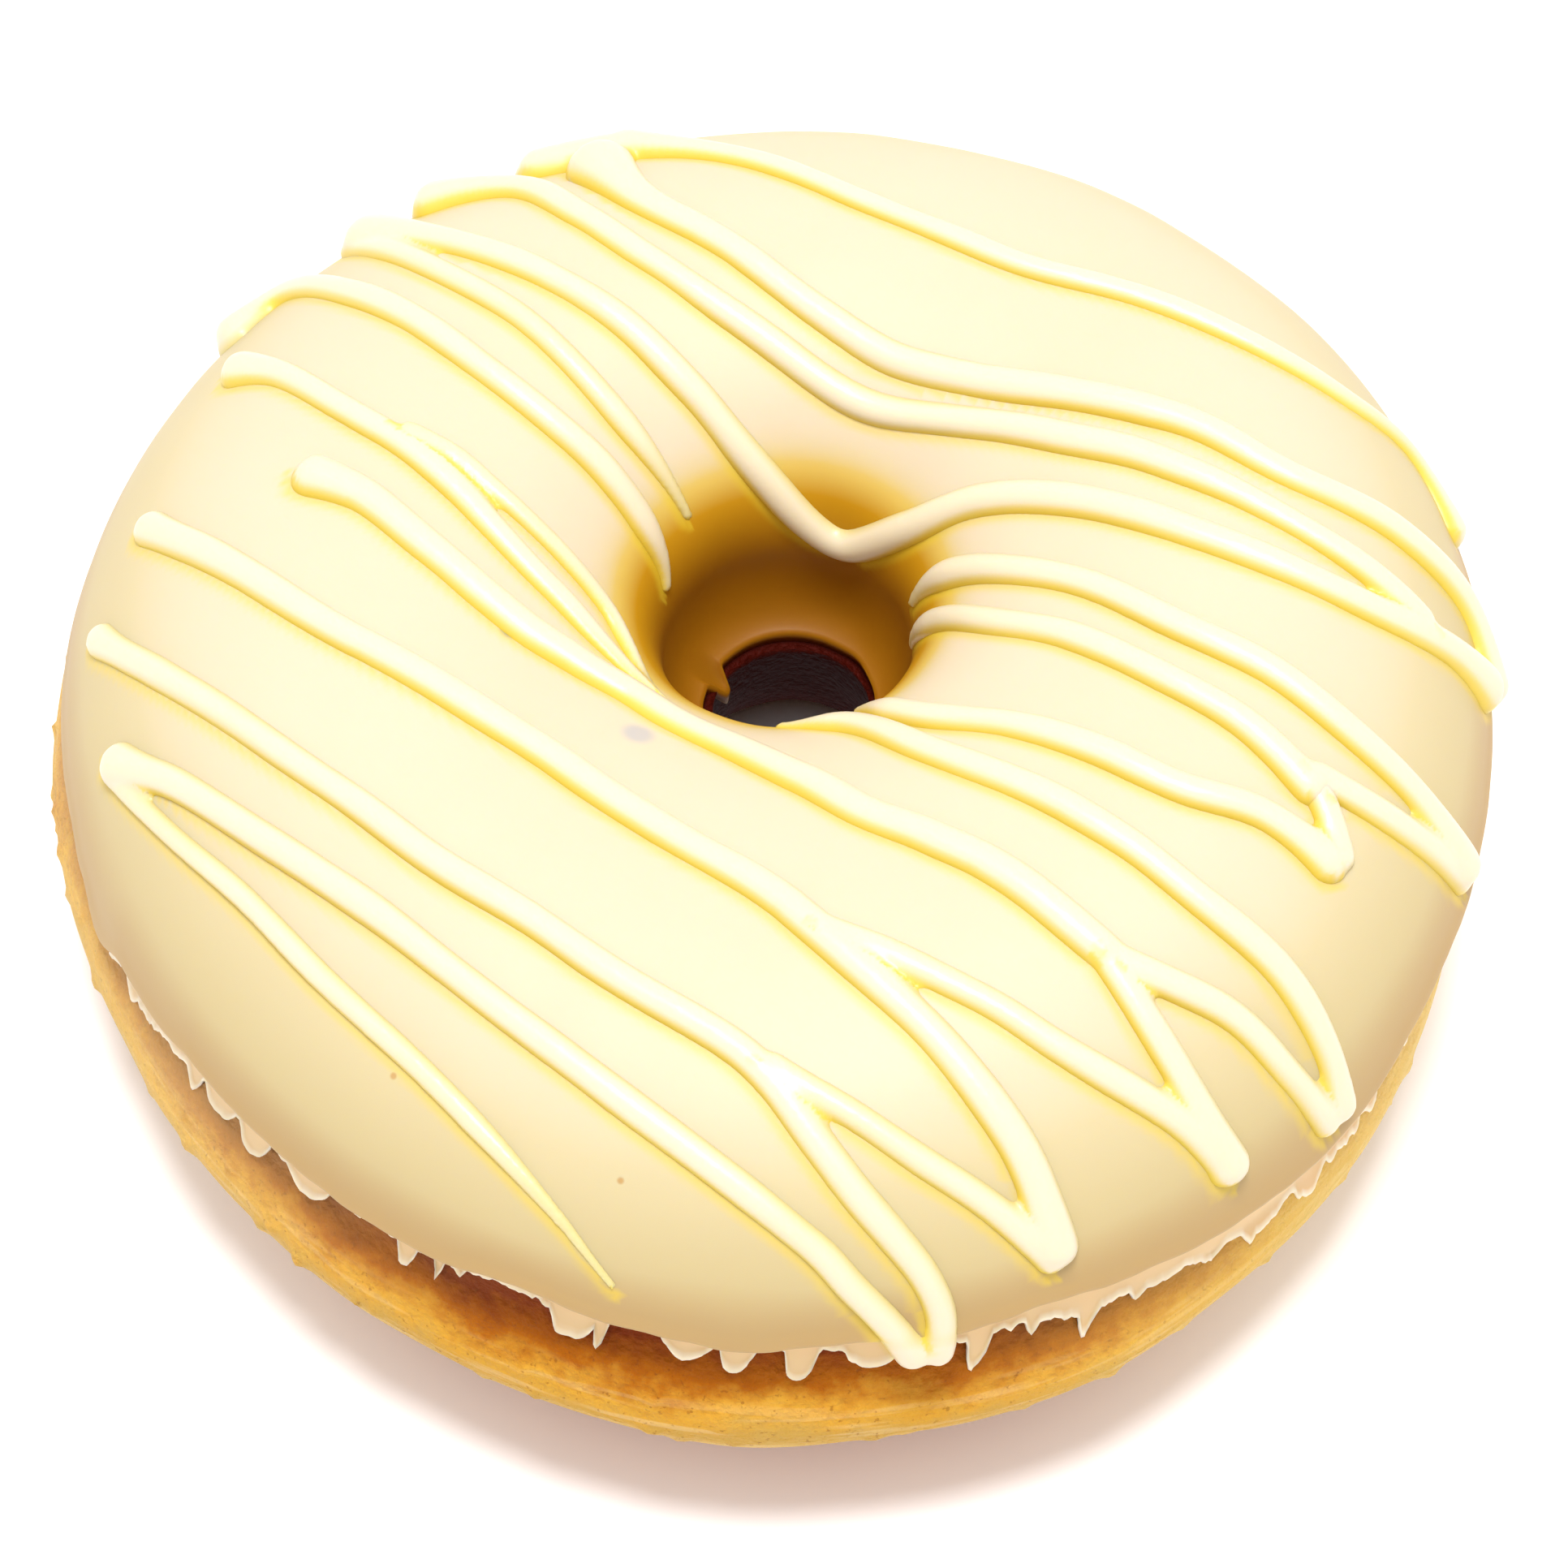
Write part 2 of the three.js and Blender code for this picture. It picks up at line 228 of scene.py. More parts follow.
top = [crown(over, DOUGH_DEPTH) for over in [*range(-90, -70, 2), *range(-70, 78, 3)]]
wall = [tuple(p) for p in spline(HOLE_WALL + [top[0]], 6)]
flank = [tuple(p) for p in spline([top[-1]] + FLANK, 6)][1:]
base = [(36 - 3.5 * step, 0) for step in range(1, 6)]
dough = turned_ring(wall[:-1] + top + flank + base, DOUGH_TURNS)
# The deepness note marks the lower wall of the hole, which the dough finish darkens as painted shade.
painted_hole_shade = dough.verts.layers.float.new("deepness")
print("dough section has", len(wall) + len(top) + len(flank) + len(base), "points")


def wrinkle(angle, height):
    """Fine wrinkles that run along the belt, as the skin stretched while the ring swelled."""
    along = Vector((math.cos(angle), math.sin(angle), 0)) * 3.4
    fine = noise.noise(along * 2.1 + Vector((0, 0, height * 0.85)))
    broad = noise.noise(along + Vector((7, 3, height * 0.4)))
    return 0.10 * fine + 0.24 * broad


def bulge(radius, angle, height):
    """How far the bare side of the dough stands out from its plain section."""
    bare = ease(height, 1.5, 5) * (1 - ease(height, 18.5, 20)) * ease(radius, 40, 44)
    return bare * (wrinkle(angle, height) + 0.3 * lumps(shape_by_hand(radius, angle, height), 11, 3.0))


random.seed(11)
blisters = []
for _ in range(150):
    blisters.append((random.uniform(0, 2 * math.pi), random.triangular(5, 18.5, 12),
                     random.uniform(0.35, 1.0), random.uniform(0.25, 0.6)))

bins = {}
for angle, height, size, rise in blisters:
    bins.setdefault(int(math.degrees(angle)) // 4, []).append((angle, height, size, rise))

for vert in dough.verts:
    radius, height = vert.co.xy.length, vert.co.z
    angle = around_of(vert.co)
    place = shape_by_hand(radius, angle, height)
    outward = Vector((math.cos(angle), math.sin(angle), 0))
    bare = ease(height, 1.5, 5) * (1 - ease(height, 18.5, 20)) * ease(radius, 40, 44)
    hole = (1 - ease(radius, 9, 13)) * ease(height, 0.5, 3) * (1 - ease(height, 8, 12))
    push = bulge(radius, angle, height)
    if bare > 0.1:
        degree = int(math.degrees(angle % (2 * math.pi))) // 4
        for near in (degree - 1, degree, degree + 1):
            for at, up, size, rise in bins.get(near % 90, ()):
                across = (angle - at + math.pi) % (2 * math.pi) - math.pi
                away = math.hypot(across * radius, height - up) / size
                if away < 1.6:
                    push += bare * rise * 0.6 * math.exp(-2.2 * away * away)
    place += outward * (push - hole * 0.5 * lumps(place, 5, 8.0))
    vert[painted_hole_shade] = (1 - ease(radius, 10, 20)) * ease(height, 0.2, 1.5)
    vert.co = place

dough_ring = finished(dough, "fried_dough_ring")

# %% [markdown]
# ## The coat's hanging edge
# Melted chocolate ran down the ring while it was turned back over. The thick coat stops at a
# rounded rim. Under it hangs a film, so thin that light comes through it, and
# its lower edge set in teeth, loops and small drips. Both edges are heights round the ring.

# %% Heights of the rim and of the film's edge
RIM = [(0, 20.6), (60, 20.0), (120, 19.8), (165, 19.6), (188, 20.0), (193, 19.2), (198, 17.8), (203, 19.6), (209, 20.0),
       (215, 20.6), (228, 20.8), (240, 21.0), (248, 21.7), (256, 21.2), (264, 20.7), (272, 21.3), (281, 21.1),
       (287, 21.5), (294, 20.8), (302, 20.3), (310, 19.5), (316, 19.5), (326, 20.4)]
FILM_EDGE = [(0, 18.6), (60, 18.6), (120, 18.4), (170, 18.0), (184, 17.4), (192, 16.2), (207, 16.2), (216, 18.0),
             (226, 18.9), (237, 19.3), (246, 19.8), (257, 20.0), (266, 19.1), (276, 18.9), (284, 18.6), (292, 17.7),
             (300, 17.0), (307, 15.6), (315, 15.0), (326, 16.3), (345, 18.0)]
DRIPS = [(214.3, 0.9, 1.6, 2), (217.8, 2.1, 1.4, 3), (222.4, 1.9, 2.1, 3), (228.6, 2.4, 1.6, 3), (238.5, 0.9, 2.3, 3),
         (241.4, 0.6, 2.4, 1), (243.2, 0.5, 1.0, 1), (252.6, 1.8, 2.4, 5), (254.7, 0.7, 3.0, 2), (261.0, 2.2, 1.9, 2),
         (264.7, 1.3, 2.1, 3), (269.4, 1.2, 2.3, 4), (274.6, 2.4, 1.4, 2), (282.2, 0.9, 2.8, 2), (286.1, 0.5, 0.9, 1),
         (290.6, 0.8, 2.3, 1.5), (294.6, 0.8, 1.0, 1), (301.0, 1.4, 0.7, 1), (305.6, 1.0, 0.6, 1), (312.4, 1.2, 1.0, 1),
         (30, 1.6, 1.6, 2), (47, 1.1, 1.0, 2), (72, 1.8, 1.8, 3), (96, 1.2, 1.2, 1), (139, 1.6, 1.7, 2), (158, 1.3, 1.1, 3)]


def height_at(marks, degree):
    """The height of an edge at an angle in degrees, eased from one mark to the next."""
    degree %= 360
    for (start, low), (end, high) in zip(marks, marks[1:] + [(marks[0][0] + 360, marks[0][1])]):
        if start <= degree <= end:
            return low + (high - low) * ease(degree, start, end)
    return marks[0][1]


def rim_height(degree):
    way = Vector((math.cos(math.radians(degree)), math.sin(math.radians(degree)), 0))
    return height_at(RIM, degree) + 0.22 * noise.noise(way * 9.0) + 0.12 * noise.noise(way * 24.0)


def film_height(degree):
    """Lowest height of the film: its base line, with its drips and a fine ragged fringe."""
    way = Vector((math.cos(math.radians(degree)), math.sin(math.radians(degree)), 0))
    height = height_at(FILM_EDGE, degree)
    drop = 0.0
    for middle, half, length, bluntness in DRIPS:
        away = abs((degree - middle + 180) % 360 - 180) / half
        if away < 1:
            drop = max(drop, length * (1 - away ** bluntness))
    fringe = 0.75 * noise.noise(way * 26.0) + 0.5 * noise.noise(way * 62.0) + 0.26 * noise.noise(way * 130.0)
    return height - drop + fringe * (1 - 0.6 * ease(drop, 0.3, 1.2))


print("rim from", min(h for _, h in RIM), "to", max(h for _, h in RIM), "mm high;", len(DRIPS), "drips")

# %% [markdown]
# ## The coat
# The coat is a closed shell about a millimetre thick. Its section is spun in coarse steps, and
# the band near its edge is then divided again, because only the ragged edge needs the finer
# steps. Each vertex carries its row down the section and whether it is on the skin or underneath.

# %% Turn the coat
COAT_TURNS = 440
EDGE_CUTS = 2
ROW_STEP = 1.3
BAND = 62.0
BAND_ROWS = 9
FILM_ROWS = [0.0, 0.06, 0.12, 0.19, 0.27, 0.36, 0.48, 0.62, 0.76, 0.86, 0.94, 1.0]
UNDER = 1.35
LIP = 1.1

skin_rows = [-88 + ROW_STEP * step for step in range(round((BAND + 88) / ROW_STEP))]
skin_rows += [BAND + (100 - BAND) * step / BAND_ROWS for step in range(BAND_ROWS)]
skin_rows += [100 + 100 * part for part in FILM_ROWS]
under_rows = [200, 150, 100, 80] + [BAND - 12 * step for step in range(12)] + [-76, -82, -88]

section = [(*crown(min(row, 89)), row, 0.0) for row in skin_rows]
section += [(*crown(min(row, 89), UNDER), row, 1.0) for row in under_rows]
coat = turned_ring(section, COAT_TURNS, ("row", "under"))
row_of, under_of = coat.verts.layers.float["row"], coat.verts.layers.float["under"]

edge_band = [edge for edge in coat.edges
             if all(vert[row_of] >= 80 for vert in edge.verts)
             and edge.verts[0][row_of] == edge.verts[1][row_of]
             and edge.verts[0][under_of] == edge.verts[1][under_of]]
bmesh.ops.subdivide_edges(coat, edges=edge_band, cuts=EDGE_CUTS, use_grid_fill=True)
thin = coat.verts.layers.float.new("thinness")
deep = coat.verts.layers.float.new("deepness")
low = coat.verts.layers.float.new("lowness")
bead = coat.verts.layers.float.new("bead")


def side_radius(height, depth):
    """Radius of the coat's side at a height. Below its waist the side runs straight down."""
    if height < WAIST_HEIGHT + 0.02:
        return COAT_RADIUS - depth
    up = clamp((height - WAIST_HEIGHT) / (CREST_HEIGHT - WAIST_HEIGHT - depth))
    turn = math.acos(up ** (OUTER_ROUNDNESS / 2))
    return CREST_RADIUS + (COAT_RADIUS - CREST_RADIUS - depth) * math.sin(turn) ** (2 / OUTER_ROUNDNESS)


def flank_radius(height):
    """Radius of the dough's bare side at a height, from its section."""
    for upper, lower in zip(flank, flank[1:]):
        if lower[1] <= height <= upper[1]:
            part = (height - lower[1]) / max(upper[1] - lower[1], 1e-6)
            return lower[0] + (upper[0] - lower[0]) * part
    return 0.0


def film_depth(below, left):
    """Depth of the skin at a distance below the rim, with so much of the film left under it."""
    lip = 0.92 * (1 - math.sqrt(max(1 - min(below / LIP, 1.0) ** 2, 0.0)))
    ridge = -0.16 * math.exp(-((below - 0.1) / 0.35) ** 2)
    bead = -0.22 * math.exp(-((left - 0.28) / 0.2) ** 2)
    closing = 0.4 * (1 - ease(left, 0.0, 0.22))
    return lip + ridge + bead * ease(below, 0.6, 1.4) + closing


def spill(degree):
    """How far the coat's inner end has run out over the opening, in millimetres, and how far down."""
    way = Vector((math.cos(math.radians(degree)), math.sin(math.radians(degree)), 0))
    wisp = 1 - ease(abs((degree - 152 + 180) % 360 - 180), 1, 11)
    return 0.25 * noise.noise(way * 2.5) + 1.1 * wisp, 1.6 * wisp


top_of_band = crown(BAND)[1]
around_cache = {}
for vert in coat.verts:
    angle = around_of(vert.co)
    row, under = vert[row_of], vert[under_of]
    vert[thin] = 0.0
    if row <= BAND:
        radius, height = crown(row, UNDER * under)
        if row < -79:
            inwards, downwards = spill(math.degrees(angle))
            radius -= inwards * ease(-row, 79, 88)
            height -= downwards * ease(-row, 79, 88)
    else:
        degree = round(math.degrees(angle), 4)
        if degree not in around_cache:
            around_cache[degree] = (rim_height(degree), film_height(degree))
        rim, edge = around_cache[degree]
        if row <= 100:
            height = top_of_band + (rim - top_of_band) * (row - BAND) / (100 - BAND)
            depth = UNDER if under else -0.16 * ease(row, 93, 100)
        else:
            height = rim - (rim - edge) * (row - 100) / 100
            depth = UNDER if under else film_depth(rim - height, height - edge)
            vert[thin] = ease(rim - height, 0.3, 0.9)
            vert[bead] = 0.0 if under else ease(rim - height, 0.6, 1.2) * (1 - ease(height - edge, 0.35, 0.65))
        if under:
            depth -= 0.35 * ease(row, 100, 200)
        radius = side_radius(height, depth)
        if row > 100 and not under:
            radius = max(radius, flank_radius(height) + bulge(47, angle, height) + 0.45 - depth * 0.25)
    place = shape_by_hand(radius, angle, height)
    if not under:
        away = Vector((place.x, place.y, 0)).normalized()
        lift = 0.22 * lumps(place, 13, 5.0) + 0.08 * lumps(place, 5, 2.0)
        lift *= 1 - ease(row, 60, 90)
        turn = math.radians(clamp(row, -90, 90))
        place += lift * (Vector((0, 0, 1)) * math.cos(turn) + away * math.sin(turn))
    vert.co = place
    vert[deep] = 1 - ease(height, 18, 28.5) if row < 0 else 0.0
    vert[low] = ease(row, 10, 97)

# %% [markdown]
# ## The drizzle
# The threads were poured from a spoon that swung to and fro. Where a thread crosses or touches
# another, both run together. So each group is swept from curves of changing thickness, remeshed
# as one skin, and softened, which rounds the joints as surface tension does. The routes and the
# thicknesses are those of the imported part.

# %% Routes of the threads
DRIZZLE = {
    "drizzle_back": [
        (1.2, (2.2, 1.6), [(104.5, 42), (92, 24.5), (78, 9.5), (62.5, 4), (48.5, 6), (31.5, 21.5), (21.5, 40),
                         (17, 61), (10, 72.5)]),
        (1.5, (2.8, 2), [(106.5, 37.5), (104, 12.5), (95, -3), (82, -16), (64, -23), (45, -20), (29.5, -10),
                       (16.5, 5.5), (8.5, 18.5), (4.5, 41.5), (1, 65), (-5.5, 78)]),
        (1.4, (2.5, 0), [(122, 53.5), (114.5, 32), (111.5, 12.5), (107, -2.5), (97, -17), (80, -29), (62, -33),
                         (42, -28), (24.5, -17.5), (14.5, -6.5), (6.5, 5.5), (0.5, 20.5), (-5.5, 47.5)]),
        (1.5, (2.6, 2), [(128, 54.5), (125.5, 24), (121.5, 4), (116, -13.5), (110, -29), (99, -45.5),
                         (79, -59.5), (57.5, -63), (34, -50.5), (20.5, -35), (10.5, -22), (2.5, -9), (-2.5, 3),
                         (-5.5, 18.5), (-6.5, 35), (-5.5, 56), (-5, 75)]),
        (2.2, (2, 1.8), [(113, 45), (109, 41.5), (104, 39), (99, 37)]),
        (1.3, (0, -9), [(129, 53.5), (129.5, 17.5), (128.5, -6), (129, -29), (128, -53)]),
    ],
    "drizzle_left": [
        (1.4, (2.3, -6), [(143.5, 59.5), (136.5, 53.5), (136.5, 27), (137.5, 8), (139.5, -7), (141, -21),
                           (142, -33), (145, -46), (149, -56), (155, -62.5)]),
    ],
    "drizzle_inner_left": [
        (1.3, (1.9, -12), [(148.5, 42.5), (149.5, 25.5), (153.5, 8.5), (157.5, -3.5), (163.3, -13.4),
                           (171.3, -21.6), (180.3, -28.6), (190, -34.4), (202, -38.6), (213, -40.6), (226, -40.8), (238, -38)]),
        (1, (0, -8), [(154.5, -1), (157, -11.4), (161.1, -18.9), (166.6, -27), (173.4, -34.6), (181.7, -41), (191, -44.8),
                     (205, -45.6), (221, -42.8), (232, -40)]),
    ],
    "drizzle_front": [
        (1.6, (1.9, 0), [(163.5, 12.5), (167.5, -0.5), (177.5, -12), (187.5, -19.5), (197.5, -25), (209.5, -31),
                         (227.5, -35.5), (254, -32.5), (272, -23.5), (282, -14), (290, -6.5), (297, 4.5),
                         (302, 24)]),
        (1.3, (0, 1.7), [(301, 20), (302, 46.5), (303, 69.5)]),
        (1.3, (0, 0), [(301, 20), (308, 39.5), (310.5, 58), (312.5, 77)]),
        (1.5, (1.5, 1.65), [(166.5, 45), (173.5, 26), (181.5, 12.5), (193.5, 0), (207.5, -8.5), (225.5, -13),
                         (243.5, -11.5), (258, -7), (267, -2), (274, 5.5), (280, 16), (284, 27), (287, 41.5),
                         (288, 55.5), (288, 68)]),
        (1.3, (0, 0), [(272, 2.5), (280, 8.5), (288, 19), (293, 30), (298, 43.5), (301, 55), (303, 69.5)]),
        (1.3, (1.4, 1.2), [(176, 56), (185.5, 37), (196.5, 23.5), (211.5, 14), (225.5, 11), (239.5, 10.5),
                         (253, 15), (262, 20), (267, 26), (271, 36), (274.2, 46), (276.6, 54), (278.4, 62), (279.2, 71), (278.6, 83)]),
        (1.2, (0, 0), [(266, 23), (274, 32), (280, 42.5), (284, 51.5), (287, 62), (288, 68)]),
        (1.3, (1.8, 1.2), [(189.5, 55.5), (197.5, 40), (209.5, 29.5), (222.5, 24), (234.5, 24), (247, 28),
                         (257, 35), (264.5, 43.5), (270.3, 53.6), (273.1, 62.2), (275.4, 70.5), (277.8, 83)]),
        (0.95, (0, -14), [(189.5, 56.5), (199.5, 47), (211.5, 39.5), (223.5, 38.5), (235, 40.5), (244, 46.5),
                         (251, 55.5), (256, 67)]),
        (1.4, (-5, 1.4), [(264, -50), (286.5, -40.5), (298, -21.5), (306.5, -5.5), (310.5, 8), (312.5, 23),
                           (314.5, 40.5), (314.5, 59), (313.5, 77)]),
    ],
    "drizzle_right": [
        (1.4, (-6, 2), [(13, -63), (7.5, -51), (-5.5, -32), (-12.5, -16.5), (-17.5, -2.5), (-19.5, 14),
                         (-21.5, 30.5), (-22.5, 49), (-23.5, 74.5)]),
        (1.4, (-6, 1.4), [(-1, -69), (-9, -56), (-21.5, -35), (-24.5, -17.5), (-26.5, -3.5), (-27.5, 12),
                           (-29.5, 26.5), (-29.5, 31.5)]),
        (1.3, (0, 0), [(-28.5, 24.5), (-26.5, 45), (-23.5, 74.5)]),
    ],
    "drizzle_short": [
        (1.4, (-5, 1.6), [(-66, -50), (-57, -31), (-47.5, -17), (-42.5, -4.5), (-39.5, 9), (-35.5, 23),
                           (-34.5, 41.5)]),
        (1.35, (0, 0), [(-28.5, 25), (-30.5, 32), (-34.5, 41.5)]),
    ],
}
THINNER = 0.84
SUNK = 0.22
POINT_STEP = 0.3
VOXEL = 0.24


def on_the_coat(around, over, lift):
    radius, height = crown(over, -lift)
    return shape_by_hand(radius, math.radians(around), height)


def thread_points(radius, ends, route, seed):
    """Places and radii along a thread. An end is a drop of a radius, or a taper of a length below 0."""
    spots, run, last = [], [], None
    for spot in spline(route, 40):
        place = on_the_coat(*spot, 0)
        gone = (place - last).length if last else 0.0
        if last is None or gone >= POINT_STEP:
            spots.append(spot)
            run.append(run[-1] + gone if run else 0.0)
            last = place
    whole = run[-1]
    radii = []
    for at in run:
        swell = 0.10 * noise.noise(Vector((at / 13, seed, 0))) + 0.04 * noise.noise(Vector((at / 4.5, seed, 4)))
        thick = THINNER * radius * (1 + swell)
        for end, away in ((ends[0], at), (ends[1], whole - at)):
            if end > 0:
                thick += (end - THINNER * radius) * math.exp(-(away / (2 * end)) ** 2)
                if away < end:
                    thick *= math.sqrt(max(1 - (1 - away / end) ** 2, 0.02))
                continue
            if end < 0:
                thick *= 0.42 + 0.58 * ease(away, 0, -end)
            if away < thick:
                thick *= math.sqrt(max(1 - (1 - away / thick) ** 2, 0.02))
        radii.append(thick)
    return [on_the_coat(*spot, -SUNK * max(thick, 0.5)) for spot, thick in zip(spots, radii)], radii


def poured_threads(name, lines):
    """Sweeps the threads of a group, fuses them into one skin and softens it."""
    path = bpy.data.curves.new(name, "CURVE")
    path.dimensions = "3D"
    path.bevel_depth = MM
    path.bevel_resolution = 5
    path.use_fill_caps = True
    for places, radii in lines:
        line = path.splines.new("POLY")
        line.points.add(len(places) - 1)
        for point, place, thick in zip(line.points, places, radii):
            point.co = (*(place * MM), 1)
            point.radius = thick
    swept = bpy.data.objects.new(name, path)
    bpy.context.scene.collection.objects.link(swept)
    body = bpy.data.meshes.new_from_object(swept.evaluated_get(bpy.context.evaluated_depsgraph_get()))
    bpy.data.objects.remove(swept)
    piece = bpy.data.objects.new("poured_" + name, body)
    bpy.context.scene.collection.objects.link(piece)
    fuse = piece.modifiers.new("fuse", "REMESH")
    fuse.mode = "VOXEL"
    fuse.voxel_size = VOXEL * MM
    soften = piece.modifiers.new("soften", "SMOOTH")
    soften.factor = 0.5
    soften.iterations = 7
    skin = bpy.data.meshes.new_from_object(piece.evaluated_get(bpy.context.evaluated_depsgraph_get()))
    piece.modifiers.clear()
    piece.data = skin
    skin.name = piece.name
    for face in skin.polygons:
        face.use_smooth = True
    print(piece.name, "has", len(skin.polygons), "faces")
    return piece


poured = {}
thread_line = []
for number, (node, threads) in enumerate(DRIZZLE.items()):
    lines = [thread_points(*thread, 20.0 * number + 3.7 * place) for place, thread in enumerate(threads)]
    poured[node] = poured_threads(node, lines)
    for places, radii in lines:
        ways = [(after - before).normalized() for before, after in zip(places[:-1], places[1:])]
        thread_line += zip(places, radii, ways + ways[-1:])

# %% [markdown]
# ## Where the chocolate stands, and its painted shade
# A thread of pale chocolate is painted yellow at its foot, as the shade in the crease where it
# meets the coat. Along the lower-left side of every thread, on the thread and on the coat beside
# it, a deeper yellow is painted as shade. Each vertex notes its height over the coat and how far
# it lies in this painted shade, and the finishes read these notes.

# %% Finish the coat and note the painted shade beside the threads
from mathutils.bvhtree import BVHTree
from mathutils.kdtree import KDTree

# Painted shade: the lower-left side of each thread, and the coat beside it, is painted deep yellow as if in shade.
SHADED_SIDE = Vector((-0.66, -0.75, 0.0))
SHADE_REACH = 0.8

lookup = KDTree(len(thread_line))
for number, (place, _, _) in enumerate(thread_line):
    lookup.insert(place, number)
lookup.balance()


def painted_shade_at(place, normal):
    """How strongly a place in millimetres lies in the painted shade on a thread's lower-left side, from 0 to 1."""
    toward_shade = (SHADED_SIDE - normal * SHADED_SIDE.dot(normal)).normalized()
    strongest_shade = 0.0
    for near, number, away in lookup.find_n(place, 3):
        _, thick, way = thread_line[number]
        side = place - near
        if abs(side.dot(way)) > 0.6:
            continue
        side -= way * side.dot(way) + normal * side.dot(normal)
        sideways = side.dot(toward_shade)
        gap = side.length - thick
        if sideways > 0 and gap < SHADE_REACH:
            facing = sideways / max(side.length, 0.01)
            band = ease(side.length / thick, 0.55, 0.95) * (1 - ease(gap, 0.0, SHADE_REACH))
            strongest_shade = max(strongest_shade, band * ease(facing, 0.2, 0.75))
    return strongest_shade


painted_shade = coat.verts.layers.float.new("painted_shade")
coat.normal_update()
for vert in coat.verts:
    vert[painted_shade] = 0.0 if vert[under_of] else painted_shade_at(vert.co, vert.normal)
icing_coat = finished(coat, "pale_chocolate_coat")

# %% Note how the drizzle stands on the coat
coat_mesh = icing_coat.data
coat_tree = BVHTree.FromPolygons([v.co for v in coat_mesh.vertices], [tuple(f.vertices) for f in coat_mesh.polygons])
for piece in poured.values():
    heights, painted_shades = [], []
    for vert in piece.data.vertices:
        place, normal, _, away = coat_tree.find_nearest(vert.co)
        stands = away if (vert.co - place).dot(normal) > 0 else -away
        heights.append(clamp(stands / MM / 2, -1, 2))
        painted_shades.append(painted_shade_at(vert.co / MM, normal) * (1 - ease(stands / MM, 0.5, 1.3)))
    for note, values in (("standing", heights), ("painted_shade", painted_shades)):
        piece.data.attributes.new(note, "FLOAT", "POINT").data.foreach_set("value", values)
    print(piece.name, "stands up to", round(max(heights) * 2, 2), "mm over the coat")

# %% [markdown]
# ## Shared effects
# Soft mottling serves several finishes: it shifts a colour in patches, and at a fine size it is a
# grain that stops a surface from looking like plastic. It is a node group, and reads the piece's
# own Object coordinates.

# %% Node groups
def node(tree, kind, place=(0, 0), **settings):
    made = tree.nodes.new(kind)
    made.location = place
    for key, value in settings.items():
        setattr(made, key, value)
    return made


def new_group(name, inputs, outputs):
    group = bpy.data.node_groups.new(name, "ShaderNodeTree")
    for label, kind, value in inputs:
        socket = group.interface.new_socket(label, in_out="INPUT", socket_type=kind)
        socket.default_value = value
    for label, kind in outputs:
        group.interface.new_socket(label, in_out="OUTPUT", socket_type=kind)
    return group, node(group, "NodeGroupInput", (-800, 0)), node(group, "NodeGroupOutput", (600, 0))


mottling, mottling_in, mottling_out = new_group(
    "mottling",
    [("Patch size mm", "NodeSocketFloat", 5.0), ("Contrast", "NodeSocketFloat", 1.0)],
    [("Mask", "NodeSocketFloat")])
where = node(mottling, "ShaderNodeTexCoord", (-800, 200))
per_patch = node(mottling, "ShaderNodeMath", (-600, 0), operation="DIVIDE")
per_patch.inputs[0].default_value = 1000
mottling.links.new(mottling_in.outputs["Patch size mm"], per_patch.inputs[1])
patches = node(mottling, "ShaderNodeTexNoise", (-400, 0))
patches.inputs["Detail"].default_value = 4
patches.inputs["Roughness"].default_value = 0.55
mottling.links.new(where.outputs["Object"], patches.inputs["Vector"])
mottling.links.new(per_patch.outputs[0], patches.inputs["Scale"])
centred = node(mottling, "ShaderNodeMath", (-200, 0), operation="SUBTRACT")
centred.inputs[1].default_value = 0.5
mottling.links.new(patches.outputs["Fac"], centred.inputs[0])
stretched = node(mottling, "ShaderNodeMath", (0, 0), operation="MULTIPLY")
mottling.links.new(centred.outputs[0], stretched.inputs[0])
mottling.links.new(mottling_in.outputs["Contrast"], stretched.inputs[1])
lifted = node(mottling, "ShaderNodeMath", (200, 0), operation="ADD", use_clamp=True)
lifted.inputs[1].default_value = 0.5
mottling.links.new(stretched.outputs[0], lifted.inputs[0])
mottling.links.new(lifted.outputs[0], mottling_out.inputs["Mask"])


def place_group(tree, group, place=(0, 0), **values):
    made = node(tree, "ShaderNodeGroup", place, node_tree=group)
    for label, value in values.items():
        made.inputs[label.replace("_", " ")].default_value = value
    return made


print("groups:", [group.name for group in bpy.data.node_groups])

# %% [markdown]
# ## Finishes
# Fried dough runs from pale cream at the belt through gold to deep orange-brown near the coat,
# with a slightly oily sheen; the darkest band, right under the coat's edge, is partly painted shade
# under its overhang. The chocolate is an ivory, satin surface that lets light in a little way, so
# its shades turn yellow; its lower sides carry painted shade, and its hole partly so.

# %% Finish helpers
def new_finish(name, roughness, specular=0.5):
    material = bpy.data.materials.new(name)
    material.use_nodes = True
    tree = material.node_tree
    shader = tree.nodes["Principled BSDF"]
    shader.inputs["Roughness"].default_value = roughness
    shader.inputs["Specular IOR Level"].default_value = specular
    return material, tree, shader


def set_subsurface(shader, weight, radius_mm):
    shader.inputs["Subsurface Weight"].default_value = weight
    shader.inputs["Subsurface Scale"].default_value = MM
    shader.inputs["Subsurface Radius"].default_value = radius_mm


def srgb(red, green, blue):
    def linear(value):
        value /= 255
        return value / 12.92 if value <= 0.04045 else ((value + 0.055) / 1.055) ** 2.4
    return (linear(red), linear(green), linear(blue), 1.0)


def colour_ramp(tree, stops, place=(0, 0)):
    ramp = node(tree, "ShaderNodeValToRGB", place)
    marks = ramp.color_ramp.elements
    while len(marks) < len(stops):
        marks.new(0.5)
    for mark, (at, colour) in zip(marks, stops):
        mark.position, mark.color = at, colour
    return ramp


